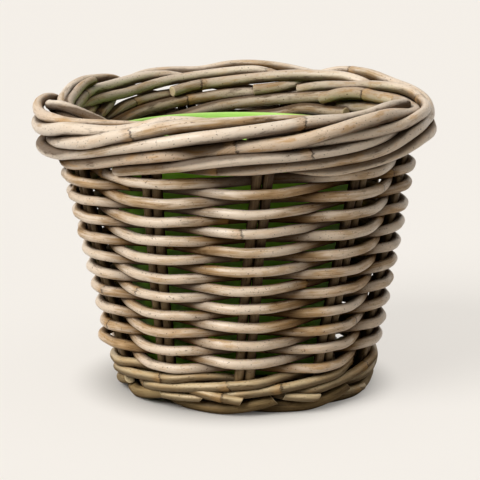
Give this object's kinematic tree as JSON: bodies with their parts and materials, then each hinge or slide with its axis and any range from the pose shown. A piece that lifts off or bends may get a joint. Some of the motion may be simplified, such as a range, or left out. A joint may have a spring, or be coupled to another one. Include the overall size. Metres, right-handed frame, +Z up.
{
  "type": "woven cachepot",
  "caption": "Round woven rattan cachepot with paired stakes, rolled border, arched cane foot and a lift-out tapered plastic liner pot.",
  "frame": {"origin": "on the floor under the middle of the rolled border", "axes": "+Z up, the front of the basket faces -Y, +X to its right seen from the front"},
  "size_m": [0.2998, 0.2994, 0.2277],
  "materials": {
    "stake_cane": "dark brown unpeeled cane, matte",
    "weaver_cane": "weathered grey-brown cane with nodes, satin on the bark",
    "border_cane": "pale grey-cream thick cane with nodes and flaking bark",
    "foot_cane": "yellow-brown cane with dark nodes, matte",
    "liner_plastic": "lime green moulded plastic, low sheen"
  },
  "bodies": {
    "basket": {"stake_cane_01": "stake_cane", "stake_cane_02": "stake_cane", "stake_cane_03": "stake_cane", "stake_cane_04": "stake_cane", "stake_cane_05": "stake_cane", "stake_cane_06": "stake_cane", "stake_cane_07": "stake_cane", "stake_cane_08": "stake_cane", "stake_cane_09": "stake_cane", "stake_cane_10": "stake_cane", "base_weaver_01": "weaver_cane", "base_weaver_02": "weaver_cane", "foot_wale_cane_01": "foot_cane", "foot_wale_cane_02": "foot_cane", "foot_wale_cane_03": "foot_cane", "foot_arc_01": "foot_cane", "foot_arc_02": "foot_cane", "foot_arc_03": "foot_cane", "foot_arc_04": "foot_cane", "foot_arc_05": "foot_cane", "foot_arc_06": "foot_cane", "foot_arc_07": "foot_cane", "foot_arc_08": "foot_cane", "foot_arc_09": "foot_cane", "foot_arc_10": "foot_cane", "weaver_odd_01": "weaver_cane", "weaver_odd_02": "weaver_cane", "weaver_odd_03": "weaver_cane", "weaver_odd_04": "weaver_cane", "weaver_odd_05": "weaver_cane", "weaver_even_01": "weaver_cane", "weaver_even_02": "weaver_cane", "weaver_even_03": "weaver_cane", "weaver_even_04": "weaver_cane", "border_cane_01": "border_cane", "border_cane_02": "border_cane", "border_cane_03": "border_cane", "border_cane_04": "border_cane", "border_cane_05": "border_cane", "border_cane_06": "border_cane", "border_cane_07": "border_cane", "border_cane_08": "border_cane", "border_cane_09": "border_cane", "border_cane_10": "border_cane"},
    "liner": {"liner_pot": "liner_plastic"}
  },
  "joints": [
    {"name": "liner_lift", "type": "slide", "parent": "basket", "child": "liner", "axis": [0, 0, 1], "range_m": [0, 0.215]}
  ]
}
